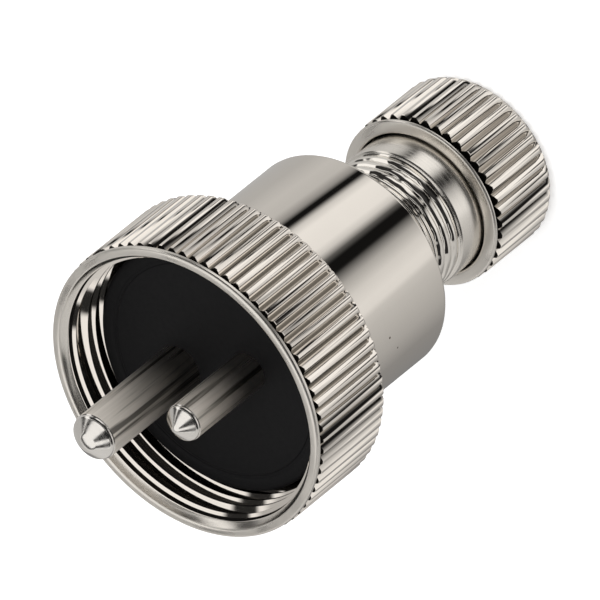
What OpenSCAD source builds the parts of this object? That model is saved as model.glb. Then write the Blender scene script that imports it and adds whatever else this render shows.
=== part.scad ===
// Two-pin cable plug with a knurled screw coupling ring and a cable gland.
// The plug stands on the flat back end of its gland nut: z = 0 is that face,
// and +Z points along the plug's axis to the tips of its two contact pins.

/* [Coupling ring] */
// Diameter over the crests of the coupling ring's knurl
ring_od = 26; // [24:0.5:30]
// Length of the coupling ring
ring_len = 9; // [8:0.25:12]
// Wall from the knurl crests to the mouth of the tapered lead-in
ring_wall = 0.9; // [0.8:0.05:1.3]
// Length of the tapered lead-in ahead of the coupling thread
lead_len = 1.1; // [0.8:0.1:1.8]
// How much the lead-in narrows from its mouth to the coupling thread
lead_taper = 0.5; // [0.2:0.05:0.6]
// Step from the mouth of the lead-in down to the crests of the coupling thread
thread_height = 0.7; // [0.65:0.05:0.8]
// Thickness of the inward flange that holds the ring on the plug
ring_flange_t = 1.75; // [1.2:0.05:2.2]
// Number of straight knurl teeth round the coupling ring
ring_teeth = 76; // [60:1:90]

/* [Knurl] */
// Depth of the knurl grooves on the ring and the nut
tooth_depth = 0.5; // [0.3:0.05:0.6]
// Share of each tooth's pitch that is left as a flat crest
crest_share = 0.3; // [0.15:0.05:0.5]
// Length of the smooth lip at the front of the ring and the nut
lip_len = 0.4; // [0.3:0.05:0.6]
// Drop from the crests of the knurl to the lip
lip_drop = 0.1; // [0.05:0.05:0.2]
// Bevel on the lip's two edges
lip_bevel = 0.25; // [0.1:0.05:0.35]
// Width of the relief groove between the lip and the knurl
relief_w = 0.35; // [0.2:0.05:0.5]
// Depth of the relief groove below the bottom of the knurl grooves
relief_step = 0.1; // [0.05:0.05:0.15]
// Chamfer round the back end of the coupling ring
ring_chamfer = 0.4; // [0.2:0.05:0.8]

/* [Contacts] */
// Diameter of the large contact pin
large_pin_d = 4; // [3.6:0.1:4.4]
// Diameter of the small contact pin
small_pin_d = 3.2; // [2.8:0.1:3.6]
// Length of the large pin in front of the face seal
large_pin_out = 12.3; // [10:0.1:15]
// Length of the small pin in front of the face seal
small_pin_out = 9.6; // [8:0.1:12]
// Distance between the two pin axes
pin_spacing = 7.2; // [6.6:0.1:7.6]
// Length of each pin's tapered nose
nose_len = 1.3; // [1:0.1:2]
// Diameter of the flat at the tip of each pin
tip_flat_d = 0.9; // [0.5:0.1:1.4]
// Radial step from each pin down to the seat that holds it
seat_step = 0.2; // [0.15:0.05:0.3]
// Diameter of the threaded stud behind each pin
stud_d = 2.5; // [2:0.1:2.8]

/* [Body] */
// Outer diameter of the body shell
body_d = 19.2; // [18.8:0.1:20.4]
// Length of the body shell without its neck
body_len = 12.65; // [12.2:0.05:16]
// Thickness of the shell's rear wall
rear_wall_t = 1.8; // [1.2:0.1:2.4]
// Chamfer round the rear edge of the shell
body_chamfer = 0.45; // [0.2:0.05:0.7]
// Diameter of the housing where the coupling ring turns on it
barrel_d = 17.6; // [17.2:0.1:18]
// Thread diameter of the housing's tail inside the shell
tail_d = 16.5; // [16:0.1:16.8]
// Length of the housing's tail
tail_len = 6.5; // [6:0.1:7.2]
// Bore of the housing, which holds the insulator
housing_bore_d = 13.8; // [13.4:0.1:14]
// Thickness of the housing's front flange
flange_t = 1.9; // [1.5:0.1:2.4]
// Thickness of the black seal on the face of the plug
face_seal_t = 1.5; // [1:0.1:2]

/* [Neck and gland] */
// Thread diameter of the neck
neck_d = 12; // [11.6:0.1:12.4]
// Length of neck that shows between the body and the gland nut
neck_gap = 9.3; // [8:0.1:11]
// Length of neck that the gland nut is screwed onto
neck_grip = 4.4; // [3.5:0.1:5]
// Depth of the turned grooves in the neck
groove_depth = 0.35; // [0.2:0.05:0.5]
// Bore for the cable through the neck and the gland's washers
cable_bore_d = 6.8; // [6:0.1:7]
// Bore of the rubber grommet
grommet_bore_d = 6.2; // [5:0.1:6.4]
// Bore of the pocket that holds the grommet
pocket_d = 9; // [8.6:0.1:9.6]
// Depth of the grommet's pocket in the neck
pocket_depth = 5.4; // [4.5:0.1:6.5]
// Height of the gland nut's knurl crests over the thread of the neck
nut_shell_t = 1.5; // [1.4:0.05:2.5]
// Length of the gland nut
nut_len = 8; // [7.6:0.1:10]
// Thickness of the gland nut's back wall
nut_wall_t = 1.5; // [1.2:0.1:2]
// Diameter of the cable hole in the gland nut
cable_hole_d = 7; // [6.4:0.1:8]
// Number of straight knurl teeth round the gland nut
nut_teeth = 42; // [32:1:52]
// Chamfer round the back end of the gland nut
nut_chamfer = 0.7; // [0.4:0.1:1]
// Length of the gland nut's smooth mouth ahead of its thread
mouth_len = 1; // [0.6:0.1:1.4]
// Radial gap between the neck's thread and the gland nut's mouth
mouth_gap = 0.3; // [0.25:0.05:0.4]
// Height of the smooth collar on the neck over its thread
collar_height = 0.15; // [0.1:0.05:0.2]
// Length of the collar that shows in front of the gland nut
collar_len = 2.55; // [1.5:0.05:2.55]

/* [Inner parts] */
// Length of the insulator behind the housing's flange
insulator_len = 5.8; // [5:0.1:6]
// Depth of the pins' seats in the front of the insulator
pin_seat = 1; // [0.6:0.1:1.4]
// Thickness of the small washers on the studs
stud_washer_t = 0.4; // [0.3:0.05:0.5]
// Height of the hexagon nuts on the studs
stud_nut_h = 1.4; // [1.2:0.1:1.6]
// Width across the flats of the hexagon nuts
stud_nut_af = 4.4; // [3.6:0.1:4.5]
// Diameter of the small washers on the studs
stud_washer_d = 4.6; // [4.2:0.1:4.7]
// Thickness of the insulator's clamp ring
clamp_t = 1.5; // [1:0.1:2]
// Radial width of the clamp ring
clamp_width = 0.75; // [0.6:0.05:0.8]
// Wall of the insulating liner
liner_t = 0.6; // [0.4:0.05:0.8]
// Thickness of the seal ring's cord
seal_cord_d = 0.75; // [0.6:0.05:0.8]
// Width of the groove that holds the seal ring
seal_groove_w = 0.95; // [0.9:0.05:1.2]
// Distance from the front of the shell to the seal ring's groove
seal_inset = 0.4; // [0.3:0.05:0.6]
// Thickness of the two gland washers
gland_washer_t = 0.8; // [0.5:0.05:1]
// Diameter of the key pin that stops the insulator turning
key_d = 1; // [0.8:0.1:1.2]
// Length of the key pin
key_len = 3; // [2:0.1:4]
// Width of the housing's inner shoulder that stops the insulator
shoulder_w = 0.6; // [0.4:0.05:0.7]
// Width of the spanner slot across the clamp ring
slot_w = 1; // [0.8:0.1:1.4]
// Depth of the spanner slot
slot_depth = 0.6; // [0.4:0.1:0.8]

/* [Fits] */
// Radial clearance of pieces that turn on each other
running_fit = 0.05; // [0.02:0.01:0.1]
// End play of the coupling ring and of the washer in the nut
end_play = 0.05; // [0.02:0.01:0.1]
// Radial clearance of pieces that are screwed or slid together
close_fit = 0.03; // [0.01:0.01:0.05]
// Radial gap between the coupling ring's thread and the plug's face
socket_gap = 0.5; // [0.4:0.05:0.8]

/* [Hidden] */
$fn = 96;
eps = 0.01;

// Heights of the outer pieces, from the gland nut's back face up
neck_end_z = nut_len - neck_grip;
body_back_z = nut_len + neck_gap;
body_front_z = body_back_z + body_len;
ring_back_z = body_front_z + end_play;
flange_back_z = ring_back_z + ring_flange_t + end_play;
flange_front_z = flange_back_z + flange_t;
face_z = flange_front_z + face_seal_t;

// Heights of the pieces inside the body
cavity_z = body_back_z + rear_wall_t;
tail_end_z = body_front_z - tail_len;
insulator_back_z = flange_back_z - insulator_len;
pin_seat_z = flange_front_z - pin_seat;
pin_nut_z = insulator_back_z - stud_washer_t - stud_nut_h;
terminal_nut_z = pin_nut_z - stud_washer_t - stud_nut_h;
stud_end_z = terminal_nut_z - stud_washer_t;

// Heights of the pieces in the gland
pocket_top_z = neck_end_z + pocket_depth;
thrust_back_z = nut_wall_t + end_play;
grommet_back_z = thrust_back_z + gland_washer_t;
grommet_front_z = pocket_top_z - gland_washer_t;

// Radii and diameters
nut_od = neck_d + 2 * nut_shell_t;
lead_r = ring_od / 2 - ring_wall;
thread_r = lead_r - thread_height;
face_r = thread_r - socket_gap;
barrel_r = barrel_d / 2;
tail_r = tail_d / 2;
shell_bore_r = tail_r + close_fit;
insulator_r = housing_bore_d / 2 - close_fit;
spigot_hole_r = housing_bore_d / 2 - shoulder_w;
nut_bore_r = neck_d / 2 + running_fit;
mouth_r = neck_d / 2 + mouth_gap;
collar_r = neck_d / 2 + collar_height;
collar_back_z = nut_len - mouth_len / 2;
pocket_fill_r = pocket_d / 2 - close_fit;
pin_x = pin_spacing / 2;

// Grooves along the neck, each [distance behind the body, width]
neck_grooves = [[0, 0.5], [2.95, 0.3], [3.95, 0.3], [5.05, 0.55], [6.05, 0.7]];

// Outline of a straight knurl: a flat crest and a V groove for each tooth
function knurl_points(teeth, crest_r, root_r) = [
    for (i = [0 : teeth - 1])
        for (p = [[-crest_share / 2, crest_r], [crest_share / 2, crest_r], [0.5, root_r]])
            let (a = (i + p[0]) * 360 / teeth)
            [p[1] * cos(a), p[1] * sin(a)]
];

// Radius of the smooth lip in front of a knurl
function lip_radius(od) = od / 2 - lip_drop;

// Bevel on both edges of a lip, limited by the lip's length and by the wall round the mouth
function lip_edge(od, mouth) = min(lip_bevel, 0.4 * (lip_radius(od) - mouth), 0.8 * lip_len);

// A knurled bar from z = 0, chamfered at its back end, with a relief groove and a lip in front
module knurled_bar(od, length, teeth, back_chamfer, mouth) {
    crest_r = od / 2;
    root_r = crest_r - tooth_depth;
    lip_r = lip_radius(od);
    edge = lip_edge(od, mouth);
    intersection() {
        linear_extrude(length - lip_len - relief_w)
            polygon(knurl_points(teeth, crest_r, root_r));
        rotate_extrude()
            polygon([[0, -1], [crest_r - back_chamfer - 1, -1], [crest_r + 1, back_chamfer + 1],
                [crest_r + 1, length], [0, length]]);
    }
    translate([0, 0, length - lip_len - relief_w - eps])
        cylinder(r = root_r - relief_step, h = relief_w + 2 * eps);
    translate([0, 0, length - lip_len])
        cylinder(r = lip_r, h = lip_len - edge);
    translate([0, 0, length - edge])
        cylinder(r1 = lip_r, r2 = lip_r - edge, h = edge);
}

// Bevel at the front edge of a lipped bore
module mouth_bevel(od, length, mouth) {
    edge = lip_edge(od, mouth);
    translate([0, 0, length - edge])
        cylinder(r1 = mouth, r2 = mouth + 2 * edge, h = 2 * edge);
}

// A flat washer from z = 0
module washer(outer_r, bore_r, t) {
    difference() {
        cylinder(r = outer_r, h = t);
        translate([0, 0, -eps])
            cylinder(r = bore_r, h = t + 2 * eps);
    }
}

// A hexagon nut from z = 0, with two flats across the plug's X axis
module hex_nut() {
    difference() {
        rotate([0, 0, 30])
            cylinder(d = stud_nut_af / cos(30), h = stud_nut_h, $fn = 6);
        translate([0, 0, -eps])
            cylinder(d = stud_d + 2 * close_fit, h = stud_nut_h + 2 * eps);
    }
}

// The same piece on both studs
module on_studs(z) {
    for (side = [-1, 1])
        translate([side * pin_x, 0, z])
            children();
}

module coupling_ring() {
    edge = lip_edge(ring_od, lead_r);
    color("silver")
    translate([0, 0, ring_back_z])
    difference() {
        knurled_bar(ring_od, ring_len, ring_teeth, ring_chamfer, lead_r);
        // bore where the ring turns on the housing
        translate([0, 0, -eps])
            cylinder(r = barrel_r + running_fit, h = ring_len);
        // bore of the coupling thread, and the tapered lead-in ahead of it
        translate([0, 0, ring_flange_t])
            cylinder(r = thread_r, h = ring_len);
        translate([0, 0, ring_len - lead_len])
            cylinder(r1 = lead_r - lead_taper, r2 = lead_r, h = lead_len - edge + eps);
        mouth_bevel(ring_od, ring_len, lead_r);
    }
}

// Half-round slot of the key pin, drilled on the joint line of the insulator and the housing
module key_hole(from_z) {
    translate([0, housing_bore_d / 2, from_z])
        cylinder(d = key_d + 2 * close_fit, h = insulator_back_z + key_len + close_fit - from_z);
}

module contact_housing() {
    color("silver")
    difference() {
        union() {
            translate([0, 0, tail_end_z])
                cylinder(r = tail_r, h = tail_len + eps);
            translate([0, 0, body_front_z])
                cylinder(r = barrel_r, h = flange_back_z - body_front_z + eps);
            translate([0, 0, flange_back_z])
                cylinder(r = face_r, h = flange_t);
        }
        translate([0, 0, tail_end_z - eps])
            cylinder(d = housing_bore_d, h = flange_back_z - tail_end_z + eps);
        cylinder(r = spigot_hole_r, h = flange_front_z + eps);
        // groove of the seal ring
        translate([0, 0, body_front_z - seal_inset - seal_groove_w])
            washer(tail_r + 1, shell_bore_r - seal_cord_d - close_fit, seal_groove_w);
        key_hole(tail_end_z - eps);
    }
}

// Holes for the stepped-down seats of the two pins, from height z
module pin_holes(z, h) {
    translate([pin_x, 0, z])
        cylinder(r = large_pin_d / 2 - seat_step + close_fit, h = h);
    translate([-pin_x, 0, z])
        cylinder(r = small_pin_d / 2 - seat_step + close_fit, h = h);
}

module face_seal() {
    color("#202020")
    translate([0, 0, flange_front_z])
    difference() {
        cylinder(r = face_r, h = face_seal_t);
        pin_holes(-eps, face_seal_t + 2 * eps);
    }
}

module insulator() {
    color("saddlebrown")
    difference() {
        union() {
            translate([0, 0, insulator_back_z])
                cylinder(r = insulator_r, h = insulator_len);
            translate([0, 0, flange_back_z - eps])
                cylinder(r = spigot_hole_r - close_fit, h = flange_t + eps);
        }
        on_studs(insulator_back_z - eps)
            cylinder(d = stud_d + 2 * close_fit, h = insulator_len + flange_t);
        pin_holes(pin_seat_z, pin_seat + eps);
        key_hole(insulator_back_z - eps);
    }
}

module clamp_ring() {
    color("goldenrod")
    translate([0, 0, insulator_back_z - clamp_t])
    difference() {
        washer(insulator_r, insulator_r - clamp_width, clamp_t);
        // spanner slot across the back face
        translate([-slot_w / 2, -insulator_r, -eps])
            cube([slot_w, 2 * insulator_r, slot_depth]);
    }
}

module key_pin() {
    color("goldenrod")
    translate([0, housing_bore_d / 2, insulator_back_z])
        cylinder(d = key_d, h = key_len);
}

// A contact pin that shoulders on the face seal, with its stud behind and a tapered nose
module contact_pin(pin_d, out) {
    shoulder_z = face_z + out - nose_len;
    mid_r = pin_d / 2 - 0.22 * (pin_d - tip_flat_d) / 2;
    high_r = pin_d / 2 - 0.6 * (pin_d - tip_flat_d) / 2;
    translate([0, 0, stud_end_z])
        cylinder(d = stud_d, h = pin_seat_z - stud_end_z + eps);
    translate([0, 0, pin_seat_z])
        cylinder(r = pin_d / 2 - seat_step, h = face_z - pin_seat_z + eps);
    translate([0, 0, face_z])
        cylinder(d = pin_d, h = shoulder_z - face_z);
    translate([0, 0, shoulder_z])
        rotate_extrude()
            polygon([[0, -eps], [pin_d / 2, -eps], [pin_d / 2, 0], [mid_r, nose_len * 0.5],
                [high_r, nose_len * 0.85], [tip_flat_d / 2, nose_len], [0, nose_len]]);
}

module large_pin() {
    color("gainsboro")
    translate([pin_x, 0, 0])
        contact_pin(large_pin_d, large_pin_out);
}

module small_pin() {
    color("gainsboro")
    translate([-pin_x, 0, 0])
        contact_pin(small_pin_d, small_pin_out);
}

module stud_washers() {
    color("goldenrod")
    for (z = [insulator_back_z - stud_washer_t, pin_nut_z - stud_washer_t])
        on_studs(z)
            washer(stud_washer_d / 2, stud_d / 2 + close_fit, stud_washer_t);
}

module pin_nuts() {
    color("goldenrod")
    on_studs(pin_nut_z)
        hex_nut();
}

module terminal_nuts() {
    color("goldenrod")
    on_studs(terminal_nut_z)
        hex_nut();
}

module body_shell() {
    body_r = body_d / 2;
    neck_r = neck_d / 2;
    color("silver")
    difference() {
        union() {
            translate([0, 0, body_back_z])
                cylinder(r1 = body_r - body_chamfer, r2 = body_r, h = body_chamfer);
            translate([0, 0, body_back_z + body_chamfer])
                cylinder(r = body_r, h = body_len - body_chamfer);
            translate([0, 0, neck_end_z])
                cylinder(r = neck_r, h = body_back_z - neck_end_z + eps);
            translate([0, 0, collar_back_z])
                cylinder(r = collar_r, h = nut_len + collar_len - collar_back_z);
        }
        // turned grooves in the neck
        for (g = neck_grooves)
            translate([0, 0, body_back_z - g[0] - g[1]])
                washer(neck_r + 1, neck_r - groove_depth, g[1]);
        // cavity, cable way and the grommet's pocket
        translate([0, 0, cavity_z])
            cylinder(r = shell_bore_r, h = body_front_z - cavity_z + eps);
        translate([0, 0, pocket_top_z - eps])
            cylinder(d = cable_bore_d, h = cavity_z - pocket_top_z + 2 * eps);
        translate([0, 0, neck_end_z - eps])
            cylinder(d = pocket_d, h = pocket_depth + eps);
    }
}

module seal_ring() {
    color("#202020")
    translate([0, 0, body_front_z - seal_inset - seal_groove_w / 2])
        rotate_extrude()
            translate([shell_bore_r - seal_cord_d / 2 - close_fit / 2, 0])
                circle(d = seal_cord_d, $fn = 32);
}

module insulating_liner() {
    liner_r = shell_bore_r - close_fit;
    color("peru")
    translate([0, 0, cavity_z])
    difference() {
        cylinder(r = liner_r, h = tail_end_z - cavity_z - end_play);
        translate([0, 0, liner_t])
            cylinder(r = liner_r - liner_t, h = tail_end_z - cavity_z);
        translate([0, 0, -eps])
            cylinder(d = cable_bore_d, h = liner_t + 2 * eps);
    }
}

module grommet_seat() {
    color("goldenrod")
    translate([0, 0, grommet_front_z])
        washer(pocket_fill_r, cable_bore_d / 2, gland_washer_t);
}

module gland_grommet() {
    color("#2a2a2a")
    translate([0, 0, grommet_back_z])
        washer(pocket_fill_r, grommet_bore_d / 2, grommet_front_z - grommet_back_z);
}

module thrust_washer() {
    color("goldenrod")
    translate([0, 0, thrust_back_z])
        washer(nut_bore_r - 0.35, cable_bore_d / 2, gland_washer_t);
}

module gland_nut() {
    color("silver")
    difference() {
        knurled_bar(nut_od, nut_len, nut_teeth, nut_chamfer, mouth_r);
        translate([0, 0, -eps])
            cylinder(d = cable_hole_d, h = nut_len);
        translate([0, 0, nut_wall_t])
            cylinder(r = nut_bore_r, h = nut_len);
        // smooth mouth ahead of the thread
        translate([0, 0, nut_len - mouth_len])
            cylinder(r = mouth_r, h = mouth_len + eps);
        mouth_bevel(nut_od, nut_len, mouth_r);
    }
}

coupling_ring();
contact_housing();
face_seal();
insulator();
clamp_ring();
key_pin();
large_pin();
small_pin();
stud_washers();
pin_nuts();
terminal_nuts();
body_shell();
seal_ring();
insulating_liner();
grommet_seat();
gland_grommet();
thrust_washer();
gland_nut();
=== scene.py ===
import math

import bmesh
import bpy
from mathutils import Matrix, Vector


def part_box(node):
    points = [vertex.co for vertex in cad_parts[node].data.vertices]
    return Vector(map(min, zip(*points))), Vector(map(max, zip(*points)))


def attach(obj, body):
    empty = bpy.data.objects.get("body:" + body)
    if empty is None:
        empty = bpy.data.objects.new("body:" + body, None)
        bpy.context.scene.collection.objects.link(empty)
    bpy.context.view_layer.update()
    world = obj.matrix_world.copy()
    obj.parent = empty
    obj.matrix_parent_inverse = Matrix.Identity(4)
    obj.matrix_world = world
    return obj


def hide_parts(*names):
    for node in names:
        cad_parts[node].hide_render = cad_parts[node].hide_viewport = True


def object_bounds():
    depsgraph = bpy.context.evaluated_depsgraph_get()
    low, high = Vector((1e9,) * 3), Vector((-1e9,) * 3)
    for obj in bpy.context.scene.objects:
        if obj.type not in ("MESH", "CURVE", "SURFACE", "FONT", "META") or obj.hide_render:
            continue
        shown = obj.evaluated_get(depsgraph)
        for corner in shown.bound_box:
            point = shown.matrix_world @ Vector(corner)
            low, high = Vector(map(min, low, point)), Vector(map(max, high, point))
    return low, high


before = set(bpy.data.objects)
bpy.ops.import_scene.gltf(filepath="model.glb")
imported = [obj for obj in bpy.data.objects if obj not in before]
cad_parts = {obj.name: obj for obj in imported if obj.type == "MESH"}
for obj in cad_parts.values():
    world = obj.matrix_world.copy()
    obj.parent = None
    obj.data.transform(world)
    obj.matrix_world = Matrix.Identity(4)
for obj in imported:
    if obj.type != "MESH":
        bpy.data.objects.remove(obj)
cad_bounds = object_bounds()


# --- Camera ---------------------------------------------------------------------------------------
# The plug is looked at from its pins' end through a long lens, tipped so that its axis runs from
# the lower left, where the contacts point, up to the cable gland at the upper right.
view_turn = math.radians(-60.7)
view_rise = math.radians(40.4)
axis_in_picture = math.radians(218.9)
view_distance = 2.0
plug_length_per_picture = 1.01

plug_low = Vector(cad_bounds[0])
plug_high = Vector(cad_bounds[1])
plug_centre = Vector((0, 0, (plug_low.z + plug_high.z) / 2))
to_camera = Vector((math.sin(view_turn) * math.cos(view_rise),
                    -math.cos(view_turn) * math.cos(view_rise),
                    math.sin(view_rise)))
level_right = Vector((math.cos(view_turn), math.sin(view_turn), 0))
axis_seen = to_camera.cross(level_right)
camera_right = axis_seen * math.cos(axis_in_picture) + level_right * math.sin(axis_in_picture)
camera_up = axis_seen * math.sin(axis_in_picture) - level_right * math.cos(axis_in_picture)

camera_data = bpy.data.cameras.new("camera")
camera_data.sensor_width = 36
picture_width = (plug_high.z - plug_low.z) / plug_length_per_picture
camera_data.lens = camera_data.sensor_width * view_distance / picture_width
camera_data.clip_start = 0.01
camera = bpy.data.objects.new("camera", camera_data)
bpy.context.scene.collection.objects.link(camera)
camera_axes = Matrix((camera_right, camera_up, to_camera)).transposed()
camera_place = Matrix.Translation(plug_centre + to_camera * view_distance)
camera.matrix_world = camera_place @ camera_axes.to_4x4()
bpy.context.scene.camera = camera
bpy.context.scene.view_settings.view_transform = "Standard"


# --- Floor and light ------------------------------------------------------------------------------
# A pale floor under the plug, two soft lamps, and a studio of white and black cards that stands
# round the plug below the table's edge and is seen only in polished metal.
def plain_material(name):
    """A new material with its nodes, its links and its main shader."""
    material = bpy.data.materials.new(name)
    material.use_nodes = True
    nodes = material.node_tree.nodes
    return material, nodes, material.node_tree.links, nodes["Principled BSDF"]


bpy.ops.object.select_all(action="DESELECT")
bpy.ops.mesh.primitive_plane_add(size=3, location=(0, 0, -0.0002))
floor = bpy.context.object
floor.name = "floor"
floor.visible_glossy = False
floor_paint, floor_nodes, floor_links, floor_shader = plain_material("floor_paint")
floor_shader.inputs["Base Color"].default_value = (0.86, 0.86, 0.86, 1)
floor_shader.inputs["Roughness"].default_value = 0.9
floor_shader.inputs["Specular IOR Level"].default_value = 0.0
floor_glow = floor_nodes.new("ShaderNodeEmission")
floor_glow.inputs["Color"].default_value = (1, 1, 1, 1)
seen_by = floor_nodes.new("ShaderNodeLightPath")
floor_sum = floor_nodes.new("ShaderNodeAddShader")
floor_links.new(floor_shader.outputs[0], floor_sum.inputs[0])
floor_links.new(floor_glow.outputs[0], floor_sum.inputs[1])
floor_dimmer = floor_nodes.new("ShaderNodeMath")
floor_dimmer.operation = "MULTIPLY"
floor_dimmer.inputs[1].default_value = 0.42
floor_links.new(seen_by.outputs["Is Camera Ray"], floor_dimmer.inputs[0])
floor_links.new(floor_dimmer.outputs[0], floor_glow.inputs["Strength"])
floor_links.new(floor_sum.outputs[0], floor_nodes["Material Output"].inputs["Surface"])
floor.data.materials.append(floor_paint)


def soft_lamp(name, place, size, watts):
    """A square lamp that lights the plug but isn't mirrored in it."""
    lamp_data = bpy.data.lights.new(name, "AREA")
    lamp_data.size = size
    lamp_data.energy = watts
    lamp = bpy.data.objects.new(name, lamp_data)
    bpy.context.scene.collection.objects.link(lamp)
    lamp.location = place
    aim = (plug_centre - Vector(place)).to_track_quat("-Z", "Y")
    lamp.rotation_euler = aim.to_euler()
    lamp.visible_glossy = False


soft_lamp("lamp_high", (-0.25, -0.35, 0.75), 0.5, 3.2)
soft_lamp("lamp_side", (0.5, 0.15, 0.45), 0.5, 1.2)

# Cards by their bearing from the camera's side of the plug, each (bearing in degrees, brightness):
# those under the table's height are seen in upright walls, those at its height in the rims and the
# lead-in.
low_cards = [(-180, 0.46), (-128, 0.51), (-102, 0.63), (-84, 0.60), (-74, 0.33), (-69, 0.008),
             (-64, 0.008), (-58, 0.74), (-50, 1.0), (-28, 0.95), (-21, 0.72), (-14, 0.12),
             (-9, 0.008), (1, 0.008), (7, 0.22), (14, 0.48), (28, 0.77), (42, 0.88), (50, 0.86),
             (56, 0.67), (66, 0.60), (102, 0.46), (128, 0.30), (180, 0.22)]
rim_cards = [(-180, 0.45), (-125, 0.45), (-118, 0.06), (-106, 0.06), (-102, 1.0), (-86, 1.0),
             (-82, 0.02), (-45, 0.035), (0, 0.03), (38, 0.025), (42, 0.02), (76, 0.02),
             (81, 0.55), (140, 0.62), (180, 0.5)]
# The ceiling by height over the table, each (sine of the height, brightness), with a black band
# that flat front faces and right-angled corners mirror.
ceiling_bands = [(0.5, 0.85), (0.57, 0.85), (0.595, 0.02), (0.70, 0.02), (0.725, 0.9), (1, 0.9)]
card_tint = (1.0, 0.975, 0.945)

world = bpy.data.worlds.new("studio")
bpy.context.scene.world = world
world.use_nodes = True
studio_nodes = world.node_tree.nodes
studio_links = world.node_tree.links
room = studio_nodes["Background"]
room.inputs["Color"].default_value = (1, 1, 1, 1)
room.inputs["Strength"].default_value = 0.62
direction = studio_nodes.new("ShaderNodeTexCoord")
heading = studio_nodes.new("ShaderNodeSeparateXYZ")
studio_links.new(direction.outputs["Generated"], heading.inputs[0])


def world_math(operation, first, second=None):
    """A sum on two values or sockets."""
    step = studio_nodes.new("ShaderNodeMath")
    step.operation = operation
    for socket, value in zip(step.inputs, (first, second)):
        if isinstance(value, (int, float)):
            socket.default_value = value
        elif value is not None:
            studio_links.new(value, socket)
    return step.outputs[0]


# The share of a full turn round the plug, from 0 to 1, with the camera's side at one half.
camera_bearing = view_turn - math.pi / 2
bearing = world_math("ARCTAN2", heading.outputs["Y"], heading.outputs["X"])
turns = world_math("MULTIPLY", bearing, -1 / (2 * math.pi))
share = world_math("FRACT", world_math("ADD", turns, camera_bearing / (2 * math.pi) + 2.5))


def card_ramp(place, stops, first, last):
    """The cards' brightness at a place; place 0 to 1 stands for the stops' values first to last."""
    ramp = studio_nodes.new("ShaderNodeValToRGB")
    studio_links.new(place, ramp.inputs["Fac"])
    ramp.color_ramp.elements.remove(ramp.color_ramp.elements[-1])
    for number, (value, level) in enumerate(stops):
        position = (value - first) / (last - first)
        elements = ramp.color_ramp.elements
        stop = elements[0] if number == 0 else elements.new(position)
        stop.position = position
        stop.color = (level * card_tint[0], level * card_tint[1], level * card_tint[2], 1)
    return ramp.outputs["Color"]


def fade(value, start, end):
    """0 at the start value, 1 at the end value."""
    step = studio_nodes.new("ShaderNodeMapRange")
    step.inputs["From Min"].default_value = start
    step.inputs["From Max"].default_value = end
    studio_links.new(value, step.inputs["Value"])
    return step.outputs[0]


def blend(share_of_second, first, second):
    """A mix of two colours, each a value or a socket."""
    mix = studio_nodes.new("ShaderNodeMix")
    mix.data_type = "RGBA"
    studio_links.new(share_of_second, mix.inputs["Factor"])
    for socket, value in (("A", first), ("B", second)):
        if isinstance(value, tuple):
            mix.inputs[socket].default_value = value
        else:
            studio_links.new(value, mix.inputs[socket])
    return mix.outputs["Result"]


height = heading.outputs["Z"]
walls = blend(fade(height, -0.25, -0.15), card_ramp(share, low_cards, -180, 180),
              card_ramp(share, rim_cards, -180, 180))
whole = blend(fade(height, 0.5, 0.55), walls, card_ramp(height, ceiling_bands, 0, 1))

# One black card hangs beside the camera, for the bevels and rounds that look back towards it.
black_card_turn = camera_bearing - math.radians(34)
black_card_rise = math.radians(48)
black_card_spread = math.radians(17)
facing = studio_nodes.new("ShaderNodeVectorMath")
facing.operation = "DOT_PRODUCT"
studio_links.new(direction.outputs["Generated"], facing.inputs[0])
facing.inputs[1].default_value = (math.cos(black_card_turn) * math.cos(black_card_rise),
                                  math.sin(black_card_turn) * math.cos(black_card_rise),
                                  math.sin(black_card_rise))
in_black_card = fade(facing.outputs["Value"], math.cos(black_card_spread * 1.15),
                     math.cos(black_card_spread))
studio = blend(in_black_card, whole, (0.015, 0.015, 0.015, 1))
studio_light = studio_nodes.new("ShaderNodeBackground")
studio_links.new(studio, studio_light.inputs["Color"])

# Polished metal sees the cards, everything else the even room, and the camera plain white.
ray = studio_nodes.new("ShaderNodeLightPath")
chosen = studio_nodes.new("ShaderNodeMixShader")
studio_links.new(ray.outputs["Is Glossy Ray"], chosen.inputs["Fac"])
studio_links.new(room.outputs[0], chosen.inputs[1])
studio_links.new(studio_light.outputs[0], chosen.inputs[2])
plain_white = studio_nodes.new("ShaderNodeBackground")
with_white = studio_nodes.new("ShaderNodeMixShader")
plain_white.inputs["Color"].default_value = (1, 1, 1, 1)
studio_links.new(ray.outputs["Is Camera Ray"], with_white.inputs["Fac"])
studio_links.new(chosen.outputs[0], with_white.inputs[1])
studio_links.new(plain_white.outputs[0], with_white.inputs[2])
studio_links.new(with_white.outputs[0], studio_nodes["World Output"].inputs["Surface"])


# --- Contact housing ------------------------------------------------------------------------------
# A turned brass housing, plated like the body. The coupling ring turns on its barrel, the shell is
# screwed onto its tail, and the insulator with the two contacts sits inside it.
MM = 0.001


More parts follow.
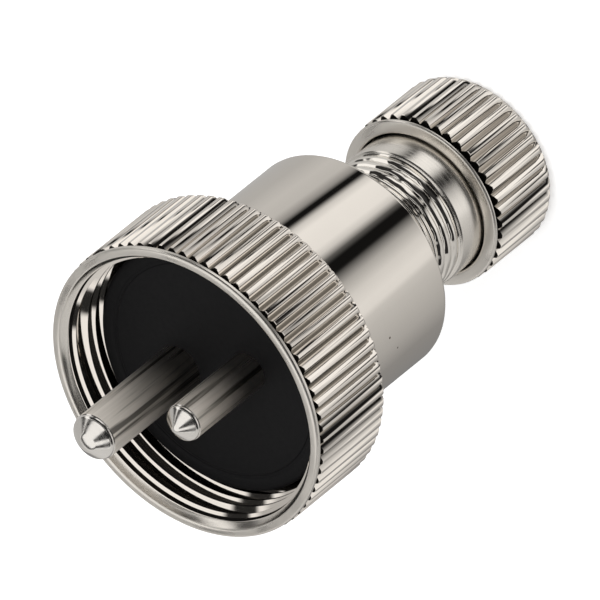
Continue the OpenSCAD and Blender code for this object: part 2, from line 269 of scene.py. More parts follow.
def make_plate_group():
    """Bright nickel plate: faint cloudiness and hairline polishing marks."""
    group = bpy.data.node_groups.new("plate_finish", "ShaderNodeTree")
    for socket, kind, value in (("Tint", "NodeSocketColor", (0.8, 0.76, 0.71, 1)),
                                ("Polish", "NodeSocketFloat", 0.08),
                                ("Grain", "NodeSocketVector", (260, 260, 5200))):
        made = group.interface.new_socket(socket, in_out="INPUT", socket_type=kind)
        made.default_value = value
    group.interface.new_socket("Color", in_out="OUTPUT", socket_type="NodeSocketColor")
    group.interface.new_socket("Roughness", in_out="OUTPUT", socket_type="NodeSocketFloat")
    group.interface.new_socket("Height", in_out="OUTPUT", socket_type="NodeSocketFloat")
    nodes, links = group.nodes, group.links
    given = nodes.new("NodeGroupInput")
    result = nodes.new("NodeGroupOutput")
    place = nodes.new("ShaderNodeTexCoord")
    cloud = nodes.new("ShaderNodeTexNoise")
    cloud.inputs["Scale"].default_value = 180
    cloud.inputs["Detail"].default_value = 3
    links.new(place.outputs["Object"], cloud.inputs["Vector"])
    around = nodes.new("ShaderNodeVectorMath")
    around.operation = "MULTIPLY"
    links.new(place.outputs["Object"], around.inputs[0])
    links.new(given.outputs["Grain"], around.inputs[1])
    hairlines = nodes.new("ShaderNodeTexNoise")
    hairlines.inputs["Scale"].default_value = 1
    hairlines.inputs["Detail"].default_value = 2
    links.new(around.outputs[0], hairlines.inputs["Vector"])
    veil = nodes.new("ShaderNodeMapRange")
    veil.inputs["From Min"].default_value = 0.3
    veil.inputs["From Max"].default_value = 0.7
    veil.inputs["To Min"].default_value = 0.97
    veil.inputs["To Max"].default_value = 1.0
    links.new(cloud.outputs["Fac"], veil.inputs["Value"])
    veiled = nodes.new("ShaderNodeVectorMath")
    veiled.operation = "SCALE"
    links.new(given.outputs["Tint"], veiled.inputs[0])
    links.new(veil.outputs[0], veiled.inputs["Scale"])
    links.new(veiled.outputs[0], result.inputs["Color"])
    gloss = nodes.new("ShaderNodeMapRange")
    gloss.inputs["From Min"].default_value = 0.3
    gloss.inputs["From Max"].default_value = 0.7
    gloss.inputs["To Min"].default_value = 0.75
    gloss.inputs["To Max"].default_value = 1.35
    links.new(hairlines.outputs["Fac"], gloss.inputs["Value"])
    scaled = nodes.new("ShaderNodeMath")
    scaled.operation = "MULTIPLY"
    links.new(gloss.outputs[0], scaled.inputs[0])
    links.new(given.outputs["Polish"], scaled.inputs[1])
    links.new(scaled.outputs[0], result.inputs["Roughness"])
    links.new(hairlines.outputs["Fac"], result.inputs["Height"])
    return group


plate_finish = make_plate_group()


def plate_material(name, tint, polish, marks=0.0001, grain=(260, 260, 5200)):
    """A plated metal: its tint, its roughness, and its polishing marks' depth in mm and grain."""
    material, nodes, links, shader = plain_material(name)
    shader.inputs["Metallic"].default_value = 1
    finish = nodes.new("ShaderNodeGroup")
    finish.node_tree = plate_finish
    finish.inputs["Tint"].default_value = (*tint, 1)
    finish.inputs["Polish"].default_value = polish
    finish.inputs["Grain"].default_value = grain
    links.new(finish.outputs["Color"], shader.inputs["Base Color"])
    links.new(finish.outputs["Roughness"], shader.inputs["Roughness"])
    bump = nodes.new("ShaderNodeBump")
    bump.inputs["Strength"].default_value = 1
    bump.inputs["Distance"].default_value = marks * MM
    links.new(finish.outputs["Height"], bump.inputs["Height"])
    links.new(bump.outputs["Normal"], shader.inputs["Normal"])
    return material


def finish_node(node, material):
    """Gives a hidden piece, which keeps its own shape, its finish."""
    node_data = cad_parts[node].data
    node_data.materials.clear()
    node_data.materials.append(material)


nickel = (0.82, 0.785, 0.735)
body_plate = plate_material("nickel_body", nickel, 0.035)
finish_node("contact_housing", body_plate)


# --- Insulator with its clamp ring and key pin ----------------------------------------------------
# A block of moulded phenolic that holds the contacts in the housing. A brass ring with a spanner
# slot is screwed in behind it, and a brass pin on the joint line stops it turning.
def make_grain_group():
    """A fine mottled surface: its colour, roughness and height follow one cloudy pattern."""
    group = bpy.data.node_groups.new("mottled_grain", "ShaderNodeTree")
    for socket, kind, value in (("Light", "NodeSocketColor", (0.8, 0.8, 0.8, 1)),
                                ("Dark", "NodeSocketColor", (0.6, 0.6, 0.6, 1)),
                                ("Scale", "NodeSocketFloat", 900),
                                ("Detail", "NodeSocketFloat", 5),
                                ("Smoothest", "NodeSocketFloat", 0.4),
                                ("Roughest", "NodeSocketFloat", 0.6)):
        made = group.interface.new_socket(socket, in_out="INPUT", socket_type=kind)
        made.default_value = value
    group.interface.new_socket("Color", in_out="OUTPUT", socket_type="NodeSocketColor")
    group.interface.new_socket("Roughness", in_out="OUTPUT", socket_type="NodeSocketFloat")
    group.interface.new_socket("Height", in_out="OUTPUT", socket_type="NodeSocketFloat")
    nodes, links = group.nodes, group.links
    given = nodes.new("NodeGroupInput")
    result = nodes.new("NodeGroupOutput")
    place = nodes.new("ShaderNodeTexCoord")
    cloud = nodes.new("ShaderNodeTexNoise")
    links.new(given.outputs["Scale"], cloud.inputs["Scale"])
    links.new(given.outputs["Detail"], cloud.inputs["Detail"])
    links.new(place.outputs["Object"], cloud.inputs["Vector"])
    lightness = nodes.new("ShaderNodeMapRange")
    lightness.inputs["From Min"].default_value = 0.3
    lightness.inputs["From Max"].default_value = 0.7
    links.new(cloud.outputs["Fac"], lightness.inputs["Value"])
    colour = nodes.new("ShaderNodeMix")
    colour.data_type = "RGBA"
    links.new(lightness.outputs[0], colour.inputs["Factor"])
    links.new(given.outputs["Dark"], colour.inputs["A"])
    links.new(given.outputs["Light"], colour.inputs["B"])
    links.new(colour.outputs["Result"], result.inputs["Color"])
    gloss = nodes.new("ShaderNodeMapRange")
    links.new(cloud.outputs["Fac"], gloss.inputs["Value"])
    links.new(given.outputs["Smoothest"], gloss.inputs["To Min"])
    links.new(given.outputs["Roughest"], gloss.inputs["To Max"])
    links.new(gloss.outputs[0], result.inputs["Roughness"])
    links.new(cloud.outputs["Fac"], result.inputs["Height"])
    return group


mottled_grain = make_grain_group()


def grained_material(name, light, dark, grain, roughness, metallic, depth):
    """A mottled part: two colours, (scale, detail) of its grain, (least, most) roughness, and the
    depth of the grain in mm."""
    material, nodes, links, shader = plain_material(name)
    shader.inputs["Metallic"].default_value = metallic
    finish = nodes.new("ShaderNodeGroup")
    finish.node_tree = mottled_grain
    finish.inputs["Light"].default_value = (*light, 1)
    finish.inputs["Dark"].default_value = (*dark, 1)
    finish.inputs["Scale"].default_value, finish.inputs["Detail"].default_value = grain
    finish.inputs["Smoothest"].default_value = roughness[0]
    finish.inputs["Roughest"].default_value = roughness[1]
    links.new(finish.outputs["Color"], shader.inputs["Base Color"])
    links.new(finish.outputs["Roughness"], shader.inputs["Roughness"])
    bump = nodes.new("ShaderNodeBump")
    bump.inputs["Distance"].default_value = depth * MM
    links.new(finish.outputs["Height"], bump.inputs["Height"])
    links.new(bump.outputs["Normal"], shader.inputs["Normal"])
    return material


phenolic = grained_material("phenolic", (0.11, 0.055, 0.032), (0.07, 0.032, 0.018), (700, 5),
                            (0.336, 0.504), 0, 0.004)
turned_brass = grained_material("turned_brass", (0.78, 0.6, 0.3), (0.66, 0.48, 0.22), (900, 5),
                                (0.224, 0.336), 1, 0.002)
finish_node("insulator", phenolic)
finish_node("clamp_ring", turned_brass)
finish_node("key_pin", turned_brass)


# --- Face seal ------------------------------------------------------------------------------------
# A matt black moulded rubber disc that closes the front of the plug round the two contacts. It has
# a low bead round its rim and a fine groove inside it, and the contacts clamp it on the housing.
def turned(name, outline, columns, pole_start=False, pole_end=False):
    """A turned piece: a ring of vertices drawn along its outline, (radius, height) points in mm."""
    bpy.ops.object.select_all(action="DESELECT")
    radius, height = outline[0]
    bpy.ops.mesh.primitive_circle_add(vertices=columns, radius=radius * MM)
    piece = bpy.context.object
    piece.name = name
    piece.data.name = name
    bpy.ops.object.mode_set(mode="EDIT")
    bpy.ops.mesh.select_mode(type="VERT")
    bpy.ops.mesh.select_all(action="SELECT")
    bpy.ops.transform.translate(value=(0, 0, height * MM))
    if pole_start:
        bpy.ops.mesh.duplicate()
        bpy.ops.mesh.delete(type="VERT")
        bpy.ops.mesh.select_all(action="SELECT")
    for next_radius, next_height in outline[1:]:
        step_up = (0, 0, (next_height - height) * MM)
        bpy.ops.mesh.extrude_region_move(TRANSFORM_OT_translate={"value": step_up})
        grow = next_radius / radius
        bpy.ops.transform.resize(value=(grow, grow, 1), center_override=(0, 0, 0))
        radius, height = next_radius, next_height
    if pole_end:
        bpy.ops.mesh.merge(type="CENTER")
    if pole_start:
        pick(piece, lambda place: abs(place.z - outline[0][1] * MM) < 1e-7
             and math.hypot(place.x, place.y) < (outline[0][0] + 0.001) * MM)
        bpy.ops.mesh.merge(type="CENTER")
    bpy.ops.mesh.select_all(action="SELECT")
    bpy.ops.mesh.remove_doubles(threshold=0.0005 * MM)
    bpy.ops.mesh.normals_make_consistent(inside=False)
    bpy.ops.object.mode_set(mode="OBJECT")
    return piece


def pick(piece, wanted):
    """In edit mode, selects the vertices whose place is wanted, and nothing else."""
    mesh = bmesh.from_edit_mesh(piece.data)
    mesh.select_mode = {"VERT"}
    for vertex in mesh.verts:
        vertex.select = wanted(vertex.co)
    mesh.select_flush_mode()
    bmesh.update_edit_mesh(piece.data)


def rounded(centre_r, centre_z, radius, start, end, steps=4):
    """Points of a small arc in the outline, from start to end degrees."""
    return [(centre_r + radius * math.cos(math.radians(start + (end - start) * k / steps)),
             centre_z + radius * math.sin(math.radians(start + (end - start) * k / steps)))
            for k in range(steps + 1)]


def drill(piece, place_x, radius, low, high):
    """Cuts a round hole along Z through the piece."""
    bpy.ops.object.select_all(action="DESELECT")
    bpy.ops.mesh.primitive_cylinder_add(vertices=64, radius=radius * MM, depth=(high - low) * MM,
                                        location=(place_x, 0, (low + high) / 2 * MM))
    bit = bpy.context.object
    cut = piece.modifiers.new("cut", "BOOLEAN")
    cut.object = bit
    cut.solver = "EXACT"
    bpy.ops.object.select_all(action="DESELECT")
    piece.select_set(True)
    bpy.context.view_layer.objects.active = piece
    bpy.ops.object.modifier_apply(modifier="cut")
    bpy.data.objects.remove(bit)
    bpy.ops.object.mode_set(mode="EDIT")
    bpy.ops.mesh.select_all(action="SELECT")
    bpy.ops.mesh.remove_doubles(threshold=0.0005 * MM)
    bpy.ops.mesh.dissolve_degenerate(threshold=0.0005 * MM)
    bpy.ops.object.mode_set(mode="OBJECT")


def finish_piece(piece, material, slot, body, *nodes_replaced, smooth=30):
    """Shades the piece, gives it its material and sets the body that it moves with."""
    bpy.ops.object.select_all(action="DESELECT")
    piece.select_set(True)
    bpy.context.view_layer.objects.active = piece
    bpy.ops.object.shade_smooth_by_angle(angle=math.radians(smooth))
    piece.data.materials.clear()
    piece.data.materials.append(material)
    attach(piece, body)
    if nodes_replaced:
        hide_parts(*nodes_replaced)


black = (0.006, 0.006, 0.0065)
rubber = grained_material("black_rubber", black, black, (2600, 4), (0.5, 0.7), 0, 0.004)
rubber.node_tree.nodes["Principled BSDF"].inputs["Specular IOR Level"].default_value = 0.12

seal_low, seal_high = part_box("face_seal")
seal_back = seal_low[2] / MM
face = seal_high[2] / MM
face_r = seal_high[0] / MM
dish = 0.06
rim_round = 0.3
hub_r = 0.4
bead_groove_r = 9.6
pin_step = 0.2
pin_fit = 0.03
seal_outline = (
    [(hub_r, face - dish), (bead_groove_r - 0.2, face - dish)]
    + [(bead_groove_r - 0.1, face - 2 * dish), (bead_groove_r + 0.1, face - 2 * dish)]
    + [(bead_groove_r + 0.2, face - 0.04), (bead_groove_r + 0.35, face)]
    + [(face_r - rim_round - 0.05, face)]
    + rounded(face_r - rim_round, face - rim_round, rim_round, 90, 0)
    + [(face_r, seal_back), (hub_r, seal_back)])
seal = turned("seal_face", seal_outline, 128, pole_start=True, pole_end=True)
for node in ("large_pin", "small_pin"):
    low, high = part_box(node)
    hole_r = (high[1] - low[1]) / 2 / MM - pin_step + pin_fit
    drill(seal, (low[0] + high[0]) / 2, hole_r, seal_back - 1, face + 1)
finish_piece(seal, rubber, "black_rubber", "plug_body", "face_seal")


# --- Contact pins with their washers and nuts -----------------------------------------------------
# Two plated contacts of different size, turned from drawn bar, with draw marks along the shank, a
# fine edge where the nose starts and a small flat at the tip. Behind the seal each has a thinner
# seat and a stud, and brass washers and nuts draw it into the insulator and clamp its wire.
pin_plate = plate_material("nickel_pins", (0.93, 0.9, 0.86), 0.28, 0.0001, (2600, 2600, 120))
pin_nodes, pin_links = pin_plate.node_tree.nodes, pin_plate.node_tree.links
pin_shader = pin_nodes["Principled BSDF"]
pin_shader.inputs["Anisotropic"].default_value = 0.9
pin_finish = pin_nodes["Group"]
pin_place = pin_nodes.new("ShaderNodeTexCoord")
pin_height = pin_nodes.new("ShaderNodeSeparateXYZ")
pin_links.new(pin_place.outputs["Object"], pin_height.inputs[0])


def along_pin(start, end, first, last, smooth="LINEAR"):
    """A value that goes from first to last between two distances in mm in front of the face."""
    change = pin_nodes.new("ShaderNodeMapRange")
    change.interpolation_type = smooth
    change.inputs["From Min"].default_value = (face + start) * MM
    change.inputs["From Max"].default_value = (face + end) * MM
    change.inputs["To Min"].default_value = first
    change.inputs["To Max"].default_value = last
    pin_links.new(pin_height.outputs["Z"], change.inputs["Value"])
    return change.outputs[0]


# The shank is rubbed duller towards the nose by each mating.
pin_links.new(along_pin(1, 9, 0.34, 0.7), pin_finish.inputs["Polish"])
pin_links.new(along_pin(1.5, 12.5, 1.0, 0.4, "SMOOTHSTEP"), pin_shader.inputs["Metallic"])
lengthwise = pin_nodes.new("ShaderNodeVectorMath")
lengthwise.operation = "MULTIPLY"
lengthwise.inputs[1].default_value = (1600, 1600, 50)
pin_links.new(pin_place.outputs["Object"], lengthwise.inputs[0])
draw_marks = pin_nodes.new("ShaderNodeTexNoise")
draw_marks.inputs["Scale"].default_value = 1
draw_marks.inputs["Detail"].default_value = 3
pin_links.new(lengthwise.outputs[0], draw_marks.inputs["Vector"])
marked = pin_nodes.new("ShaderNodeValToRGB")
marked.color_ramp.elements[0].position = 0.36
marked.color_ramp.elements[0].color = (0.2, 0.185, 0.165, 1)
marked.color_ramp.elements[1].position = 0.46
marked.color_ramp.elements[1].color = (0.82, 0.765, 0.69, 1)
bright = marked.color_ramp.elements.new(0.66)
bright.color = (1.0, 0.94, 0.87, 1)
pin_links.new(draw_marks.outputs["Fac"], marked.inputs["Fac"])
pin_links.new(marked.outputs["Color"], pin_finish.inputs["Tint"])
nose_plate = plate_material("nickel_pin_noses", (0.93, 0.91, 0.88), 0.15, 0.0003)

stud_r = 1.25
stud_edge = 0.15
stud_end = 0.35
seat_back = face - 2.5
nose_len = 1.3
nose_rim = 0.05
shoulder_round = 0.4
tip_round = 0.9
steep, flat = 52, 83


def pin_nose(radius, tip):
    """The nose's outline: a rounded shoulder, a steep cone and a rounded, almost flat tip."""
    steep_turn, flat_turn = math.radians(steep), math.radians(flat)
    rim = radius - nose_rim
    shoulder = tip - nose_len
    spare_r = rim - shoulder_round * (1 - math.cos(steep_turn))
    spare_r -= tip_round * (math.cos(steep_turn) - math.cos(flat_turn))
    spare_z = nose_len - nose_rim - shoulder_round * math.sin(steep_turn)
    spare_z -= tip_round * (math.sin(flat_turn) - math.sin(steep_turn))
    spare_z -= spare_r / math.tan(flat_turn)
    cone_r = min(spare_r, spare_z / (1 / math.tan(steep_turn) - 1 / math.tan(flat_turn)))
    nose = rounded(rim - shoulder_round, shoulder + nose_rim, shoulder_round, 0, steep, 5)
    cone_end_r = nose[-1][0] - cone_r
    cone_end_z = nose[-1][1] + cone_r / math.tan(steep_turn)
    nose += rounded(cone_end_r - tip_round * math.cos(steep_turn),
                    cone_end_z - tip_round * math.sin(steep_turn), tip_round, steep, flat, 5)
    return nose + [(0.1, tip)]


def contact(name, node):
    """One contact: stud and seat behind the seal, shank and nose in front of it."""
    low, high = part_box(node)
    radius = (high[1] - low[1]) / 2 / MM
    tip = high[2] / MM
    back = low[2] / MM
    outline = (
        [(stud_r - stud_end, back), (stud_r - stud_edge, back), (stud_r, back + stud_edge)]
        + [(stud_r, seat_back), (radius - pin_step, seat_back), (radius - pin_step, face - dish)]
        + [(radius, face - dish), (radius, tip - nose_len - 0.02)]
        + pin_nose(radius, tip))
    pin = turned(name, outline, 96, pole_start=True, pole_end=True)
    bpy.ops.object.select_all(action="DESELECT")
    pin.select_set(True)
    pin.location.x = (low[0] + high[0]) / 2
    bpy.ops.object.transform_apply(location=True, rotation=False, scale=False)
    finish_piece(pin, pin_plate, "pin_metal", "plug_body", node)
    pin.data.materials.append(nose_plate)
    for polygon in pin.data.polygons:
        in_nose = polygon.center.z > (tip - nose_len - 0.03) * MM
        polygon.material_index = 1 if in_nose else 0


contact("pin_large", "large_pin")
contact("pin_small", "small_pin")
finish_node("stud_washers", turned_brass)
finish_node("pin_nuts", turned_brass)
finish_node("terminal_nuts", turned_brass)


# --- Coupling ring --------------------------------------------------------------------------------
# Turned from brass bar with a straight knurl, a smooth lip and a lead-in in front of a fine thread,
# and plated like the body. A flange at its back holds it on the housing's barrel, where it turns
# freely.
def press_knurl(piece, teeth, rings, root, crest, shares):
    """Presses straight grooves into rings of vertices; shares is a groove's depth by column."""
    steps = len(shares)
    column_turn = 2 * math.pi / (teeth * steps)
    bpy.context.view_layer.objects.active = piece
    bpy.ops.object.mode_set(mode="EDIT")
    for radius, height in rings:
        for step, share in enumerate(shares):
            pressed = max(root, min(radius, crest - share * (crest - root)))
            if pressed >= radius - 1e-6:
                continue

            def in_groove(place):
                off_height = abs(place.z - height * MM)
                off_radius = abs(math.hypot(place.x, place.y) - radius * MM)
                if off_height > 2e-6 or off_radius > 2e-6:
                    return False
                return round(math.atan2(place.y, place.x) / column_turn) % steps == step

            pick(piece, in_groove)
            share_left = pressed / radius
            bpy.ops.transform.resize(value=(share_left, share_left, 1), center_override=(0, 0, 0))
    bpy.ops.object.mode_set(mode="OBJECT")


def paint_shade_on_faces(piece, finish, low, high, radius):
    """Paints shade on the faces just below the radius, between two heights, with a darker finish.
    """
    piece.data.materials.append(finish)
    for polygon in piece.data.polygons:
        level = low - 0.01 < polygon.center.z / MM < high + 0.01
        below = radius - math.hypot(polygon.center.x, polygon.center.y) / MM
        if level and 0 < below < 1:
            polygon.material_index = len(piece.data.materials) - 1


# A thread's widths at foot and crest, as shares of its pitch, and the columns of its run-out.
foot_width = 0.84
crest_width = 0.2
fade_columns = 40


def wind_thread(name, crest_r, root_r, low, whole_turns, pitch, columns, material, body):
    """A screw thread: one V ridge wound along the wall at root_r, fading into it at both ends."""
    inward = 1 if crest_r > root_r else -1
    foot = root_r - inward * 0.02
    bpy.ops.object.select_all(action="DESELECT")
    bpy.ops.mesh.primitive_plane_add(size=1, rotation=(math.pi / 2, 0, 0))
    bpy.ops.transform.resize(value=(abs(crest_r - foot) * MM, 1, foot_width * pitch * MM))
    bpy.ops.transform.translate(value=((crest_r + foot) / 2 * MM, 0, low * MM))
    bpy.ops.object.transform_apply(location=True, rotation=True, scale=True)
    thread = bpy.context.object
    thread.name = name
    thread.data.name = name
    bpy.ops.object.mode_set(mode="EDIT")
    pick(thread, lambda place: abs(place.x - crest_r * MM) < 0.001 * MM)
    narrow = crest_width / foot_width
    bpy.ops.transform.resize(value=(1, 1, narrow), center_override=(0, 0, low * MM))
    bpy.ops.object.mode_set(mode="OBJECT")
    winding = thread.modifiers.new("winding", "SCREW")
    winding.axis = "Z"
    winding.angle = 2 * math.pi
    winding.screw_offset = pitch * MM
    winding.iterations = whole_turns
    winding.steps = columns
    winding.render_steps = columns
    winding.use_merge_vertices = True
    winding.merge_threshold = 0.0001 * MM
    bpy.ops.object.modifier_apply(modifier="winding")
    bpy.ops.object.mode_set(mode="EDIT")
    bpy.ops.mesh.select_all(action="SELECT")
    bpy.ops.mesh.remove_doubles(threshold=0.0002 * MM)
    for end_z, way in ((low, 1), (low + whole_turns * pitch, -1)):
        for column in range(fade_columns):
            turned_by = 2 * math.pi * column / columns
            level = (end_z + way * pitch * column / columns) * MM

            def in_column(place):
                if abs(place.z - level) > 0.5 * pitch * MM:
                    return False
                off = math.atan2(place.y, place.x) - way * turned_by + math.pi
                return abs(off % (2 * math.pi) - math.pi) < math.pi / columns

            if column == 0:
                pick(thread, in_column)
                bpy.ops.mesh.merge(type="CENTER")
                continue
            pick(thread, lambda place: in_column(place)
                 and abs(math.hypot(place.x, place.y) - crest_r * MM) < 0.001 * MM)
            lowered = foot + (crest_r - foot) * column / fade_columns
            share = lowered / crest_r
            bpy.ops.transform.resize(value=(share, share, 1), center_override=(0, 0, 0))
    bpy.ops.mesh.select_all(action="SELECT")
    bpy.ops.mesh.normals_make_consistent(inside=False)
    bpy.ops.object.mode_set(mode="OBJECT")
    finish_piece(thread, material, "nickel_plate", body, smooth=25)


# The knurl's crests are bright. Its grooves get a darker copy of the plate as painted shade, and
# the tooth ends and the relief behind the lip are painted near black as shade. The lip and the
# lead-in keep the satin of the turning tool under the plate.
ring_plate = plate_material("nickel_ring", (0.94, 0.895, 0.84), 0.05)
# Painted shade: a darker copy of the ring's plate for the knurl's grooves.
groove_painted_shade = plate_material("nickel_groove_painted_shade", (0.4, 0.375, 0.34), 0.1)
# Painted shade: a near-black copy of the plate for the tooth ends and the relief behind the lips.
painted_shade_plate = plate_material("nickel_recess_painted_shade", (0.05, 0.045, 0.04), 0.5)
satin_plate = plate_material("nickel_satin", (0.88, 0.85, 0.8), 0.3)
collar_plate = plate_material("nickel_collar", (0.9, 0.87, 0.82), 0.21)

ring_low, ring_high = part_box("coupling_ring")
ring_back = ring_low[2] / MM
ring_front = ring_high[2] / MM
ring_crest = 13.0
ring_teeth = 76
knurl_depth = 0.5
# How deep the groove is over one tooth's eight columns: a flat crest and a V.
groove_shares = (0, 0, 0.3, 0.66, 1, 0.66, 0.3, 0)
groove_shade = 0.33
back_bevel = 0.45
lip_len = 0.4
lip_drop = 0.1
lip_round = 0.25
satin_len = 0.35
relief_len = 0.35
relief_r = ring_crest - knurl_depth - 0.1
mouth_r = 12.1
chamfer_len = 0.65
lead_in_len = 1.2
thread_minor_r = 11.4
thread_major_r = 11.95
thread_pitch = 1.0
barrel_hole_r = 8.85
flange_len = 1.75
lip_r = ring_crest - lip_drop
lip_back = ring_front - lip_len
tooth_end = lip_back - relief_len
knurl_rings = [(ring_crest - 0.03, tooth_end), (ring_crest, tooth_end - 0.04),
               (ring_crest, ring_back + back_bevel), (ring_crest - 0.15, ring_back + 0.2)]
ring_outline = (
    [(barrel_hole_r, ring_back), (ring_crest - 0.65, ring_back)]
    + [(ring_crest - 0.4, ring_back + 0.02)]
    + knurl_rings[::-1]
    + [(relief_r, tooth_end), (relief_r, lip_back), (lip_r, lip_back)]
    + rounded(lip_r - lip_round, ring_front - lip_round, lip_round, 0, 90, 5)
    + rounded(mouth_r + lip_round, ring_front - lip_round, lip_round, 90, 150, 4)
    + [(mouth_r - 0.28, ring_front - chamfer_len)]
    + [(mouth_r - 0.34, ring_front - chamfer_len - 0.03)]
    + [(mouth_r - 0.42, ring_front - lead_in_len + 0.15)]
    + [(thread_minor_r + 0.02, ring_front - lead_in_len)]
    + [(thread_minor_r + 0.02, ring_front - lead_in_len - 0.05)]
    + [(thread_major_r, ring_front - lead_in_len - 0.1)]
    + [(thread_major_r, ring_back + flange_len + 0.03)]
    + [(thread_major_r - 0.1, ring_back + flange_len)]
    + [(barrel_hole_r, ring_back + flange_len), (barrel_hole_r, ring_back)])
ring = turned("ring", ring_outline, ring_teeth * len(groove_shares))
press_knurl(ring, ring_teeth, knurl_rings, ring_crest - knurl_depth, ring_crest, groove_shares)
finish_piece(ring, ring_plate, "nickel_plate", "coupling_ring", "coupling_ring", smooth=35)
# Painted shade in the knurl's grooves.
paint_shade_on_faces(ring, groove_painted_shade, ring_back + back_bevel, tooth_end, ring_crest - groove_shade)
# Painted shade, near black, on the tooth ends and the relief behind the lip.
paint_shade_on_faces(ring, painted_shade_plate, tooth_end, lip_back, ring_crest - 0.03)
ring.data.materials.append(satin_plate)
ring.data.materials.append(collar_plate)
for polygon in ring.data.polygons:
    if polygon.center.z > (lip_back - 0.1) * MM:
        in_lip = polygon.center.z > (ring_front - satin_len) * MM
        polygon.material_index = 3 if in_lip else 4
wind_thread("ring_thread", thread_minor_r, thread_major_r, ring_back + flange_len + 0.5, 5,
            thread_pitch, 128, ring_plate, "coupling_ring")


# --- Seal ring and insulating liner ---------------------------------------------------------------
# A rubber cord ring in a groove of the housing keeps water out of the shell, and a sleeve of
# pressed fibre keeps the terminals off its wall.
fibre = grained_material("pressed_fibre", (0.48, 0.2, 0.11), (0.36, 0.14, 0.075), (1400, 5),
                         (0.56, 0.84), 0, 0.01)
finish_node("seal_ring", rubber)
finish_node("insulating_liner", fibre)


# --- Body shell with its neck ---------------------------------------------------------------------
# One brass turning, polished and plated with warm bright nickel, and screwed onto the housing. Its
# rear edge is lightly broken, and the neck behind it has turned ridges and a smooth collar above
# the thread of the gland nut.
neck_plate = plate_material("nickel_neck", (0.95, 0.92, 0.87), 0.04)

# Two small pits in the plate of the body's wall, each (place, radius).
pits = (((-9.27, 2.50, 24.85), 0.13), ((-8.77, 3.90, 23.9), 0.10))
body_nodes, body_links = body_plate.node_tree.nodes, body_plate.node_tree.links
body_place = body_nodes.new("ShaderNodeTexCoord")
unpitted = None
for pit_place, pit_r in pits:
    away = body_nodes.new("ShaderNodeVectorMath")
    away.operation = "DISTANCE"
    body_links.new(body_place.outputs["Object"], away.inputs[0])
    away.inputs[1].default_value = [value * MM for value in pit_place]
    outside = body_nodes.new("ShaderNodeMapRange")
    outside.inputs["From Min"].default_value = pit_r * 0.5 * MM
    outside.inputs["From Max"].default_value = pit_r * MM
    body_links.new(away.outputs["Value"], outside.inputs["Value"])
    if unpitted is None:
        unpitted = outside.outputs[0]
    else:
        both = body_nodes.new("ShaderNodeMath")
        both.operation = "MULTIPLY"
        body_links.new(unpitted, both.inputs[0])
        body_links.new(outside.outputs[0], both.inputs[1])
        unpitted = both.outputs[0]
pitted = body_nodes.new("ShaderNodeMix")
pitted.data_type = "RGBA"
pitted.inputs["A"].default_value = (0.12, 0.09, 0.07, 1)
pitted.inputs["B"].default_value = (*nickel, 1)
body_links.new(unpitted, pitted.inputs["Factor"])
body_links.new(pitted.outputs["Result"], body_nodes["Group"].inputs["Tint"])

# The neck was polished by hand over its ridges, so its plate is wavy there and calmer at both ends.
wave_depth = 0.42
# Each stretch: (from height, to height, share of the waves at its start, share at its end).
calm_stretches = ((9.8, 11.2, 0.45, 1), (14.2, 15, 1, 0.15))
neck_nodes, neck_links = neck_plate.node_tree.nodes, neck_plate.node_tree.links
neck_place = neck_nodes.new("ShaderNodeTexCoord")
neck_height = neck_nodes.new("ShaderNodeSeparateXYZ")
neck_links.new(neck_place.outputs["Object"], neck_height.inputs[0])
waves = neck_nodes.new("ShaderNodeTexNoise")
waves.inputs["Scale"].default_value = 480
waves.inputs["Detail"].default_value = 1
neck_links.new(neck_place.outputs["Object"], waves.inputs["Vector"])
wave_height = waves.outputs["Fac"]
for start, end, first, last in calm_stretches:
    calmer = neck_nodes.new("ShaderNodeMapRange")
    calmer.inputs["From Min"].default_value = start * MM
    calmer.inputs["From Max"].default_value = end * MM
    calmer.inputs["To Min"].default_value = first
    calmer.inputs["To Max"].default_value = last
    neck_links.new(neck_height.outputs["Z"], calmer.inputs["Value"])
    calmed = neck_nodes.new("ShaderNodeMath")
    calmed.operation = "MULTIPLY"
    neck_links.new(wave_height, calmed.inputs[0])
    neck_links.new(calmer.outputs[0], calmed.inputs[1])
    wave_height = calmed.outputs[0]
wavy = neck_nodes.new("ShaderNodeBump")
wavy.inputs["Distance"].default_value = wave_depth * MM
neck_links.new(wave_height, wavy.inputs["Height"])
neck_links.new(neck_nodes["Bump"].outputs["Normal"], wavy.inputs["Normal"])
neck_links.new(wavy.outputs["Normal"], neck_nodes["Principled BSDF"].inputs["Normal"])

shell_low, shell_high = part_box("body_shell")
shell_front = shell_high[2] / MM
neck_end = shell_low[2] / MM
body_r = shell_high[0] / MM
body_back = 17.3
rear_edge = 0.4
front_edge = 0.15
neck_r = 6.0
neck_floor_r = neck_r - 0.12
undercut_r = neck_r - 0.3
undercut_len = 0.5
undercut_fade = 0.3
bead_r = 0.2
beads = (14.2, 13.7)
ridge_r = 0.5
# Each ridge: (height, angle where its round meets the next groove).
ridges = ((12.95, -50), (12.05, -50), (11.15, -40))
collar_end = 10.6
collar_r = neck_r + 0.14
collar_round = 0.34
collar_shoulder = 10.3
collar_back = 7.5
thread_root_r = 5.5
thread_top = 7.3
pocket_r = 4.5
pocket_top = 9.0
cable_r = 3.4
cavity_r = 8.28
cavity_back = 19.1

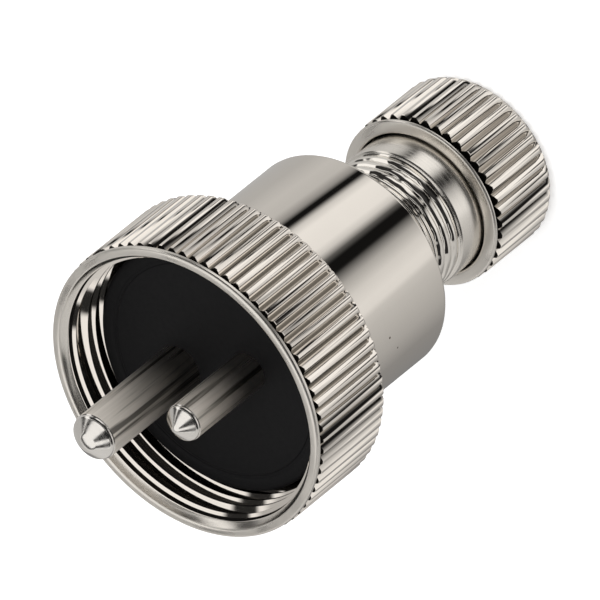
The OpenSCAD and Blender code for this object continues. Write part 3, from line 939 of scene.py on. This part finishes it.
shell_outline = (
    [(cavity_r, shell_front), (body_r - front_edge, shell_front)]
    + [(body_r, shell_front - front_edge)]
    + rounded(body_r - rear_edge, body_back + rear_edge, rear_edge, 0, -90)
    + [(undercut_r, body_back), (undercut_r, body_back - undercut_len)]
    + [(neck_floor_r, body_back - undercut_len - undercut_fade), (neck_floor_r, beads[0] + 0.3)])
for height in beads:
    shell_outline += rounded(neck_r - bead_r, height, bead_r, 70, -70, 6)
for height, end_angle in ridges:
    shell_outline += rounded(neck_r - ridge_r, height, ridge_r, 50, end_angle, 6)
shell_outline += (
    [(neck_floor_r, collar_shoulder + 0.42)]
    + rounded(collar_r - collar_round, collar_shoulder, collar_round, 65, 0, 5)
    + [(collar_r, collar_back + 0.1), (collar_r - 0.09, collar_back), (thread_root_r, thread_top)]
    + [(thread_root_r, neck_end + 0.1), (thread_root_r - 0.1, neck_end)]
    + [(pocket_r, neck_end), (pocket_r, pocket_top), (cable_r, pocket_top)]
    + [(cable_r, cavity_back), (cavity_r, cavity_back), (cavity_r, shell_front)])
shell = turned("shell", shell_outline, 192)
finish_piece(shell, body_plate, "nickel_plate", "plug_body", "body_shell")
shell.data.materials.append(neck_plate)
shell.data.materials.append(collar_plate)
for polygon in shell.data.polygons:
    outside = math.hypot(polygon.center.x, polygon.center.y) > (thread_root_r + 0.05) * MM
    if outside and (collar_back - 0.05) * MM < polygon.center.z < (body_back - 0.05) * MM:
        polygon.material_index = 2 if polygon.center.z < collar_end * MM else 1
wind_thread("neck_thread", neck_r - 0.02, thread_root_r, neck_end + 0.75, 2, thread_pitch, 96,
            body_plate, "plug_body")


# --- Grommet with its two washers -----------------------------------------------------------------
# A rubber grommet in the neck's pocket, between a brass seat and a brass thrust washer. The gland
# nut presses it onto the cable.
finish_node("grommet_seat", turned_brass)
finish_node("gland_grommet", rubber)
finish_node("thrust_washer", turned_brass)


# --- Gland nut ------------------------------------------------------------------------------------
# A brass nut turned and knurled like the coupling ring and plated like the body, with a hole for
# the cable in its back wall. It is screwed onto the neck and squeezes the grommet.
nut_plate = plate_material("nickel_nut", (0.96, 0.92, 0.865), 0.05)
# Painted shade: a darker copy of the nut's plate for its knurl's grooves.
coarse_groove_painted_shade = plate_material("nickel_coarse_groove_painted_shade", (0.62, 0.585, 0.54), 0.1)

nut_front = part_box("gland_nut")[1][2] / MM
nut_crest = 7.5
nut_teeth = 42
nut_root = nut_crest - knurl_depth
nut_lip_r = nut_crest - lip_drop
nut_relief_r = nut_root - 0.3
nut_relief_len = 0.6
nut_lip_back = nut_front - lip_len
nut_tooth_end = nut_lip_back - nut_relief_len
nut_back_bevel = 0.75
nut_wall = 1.5
cable_hole_r = 3.5
nut_bore_r = 6.05
nut_mouth_r = 6.3
nut_mouth_len = 1.0
nut_rings = [(nut_crest - 0.03, nut_tooth_end), (nut_crest, nut_tooth_end - 0.04),
             (nut_crest, nut_back_bevel), (nut_crest - 0.25, 0.3), (nut_crest - 0.45, 0.1)]
nut_outline = (
    [(cable_hole_r, 0), (nut_crest - nut_back_bevel, 0)]
    + nut_rings[::-1]
    + [(nut_relief_r, nut_tooth_end), (nut_relief_r, nut_lip_back), (nut_lip_r, nut_lip_back)]
    + rounded(nut_lip_r - lip_round, nut_front - 0.12 - lip_round, lip_round, 0, 78, 5)
    + rounded(nut_mouth_r + 0.2, nut_front - 0.2, 0.2, 78, 170, 4)
    + [(nut_mouth_r, nut_front - 0.5), (nut_mouth_r, nut_front - nut_mouth_len)]
    + [(nut_bore_r, nut_front - nut_mouth_len - 0.1), (nut_bore_r, nut_wall)]
    + [(cable_hole_r + 0.15, nut_wall), (cable_hole_r, nut_wall - 0.15), (cable_hole_r, 0)])
nut = turned("nut", nut_outline, nut_teeth * len(groove_shares))
press_knurl(nut, nut_teeth, nut_rings, nut_root, nut_crest, groove_shares)
finish_piece(nut, nut_plate, "nickel_plate", "gland_nut", "gland_nut", smooth=35)
# Painted shade in the nut's knurl grooves.
paint_shade_on_faces(nut, coarse_groove_painted_shade, nut_back_bevel, nut_tooth_end, nut_crest - groove_shade)
# Painted shade, near black, on the nut's tooth ends and the relief behind its lip.
paint_shade_on_faces(nut, painted_shade_plate, nut_tooth_end, nut_lip_back, nut_crest - 0.03)
nut.data.materials.append(satin_plate)
for polygon in nut.data.polygons:
    if polygon.center.z > (nut_front - 0.45) * MM and polygon.normal.z > -0.1:
        polygon.material_index = 3
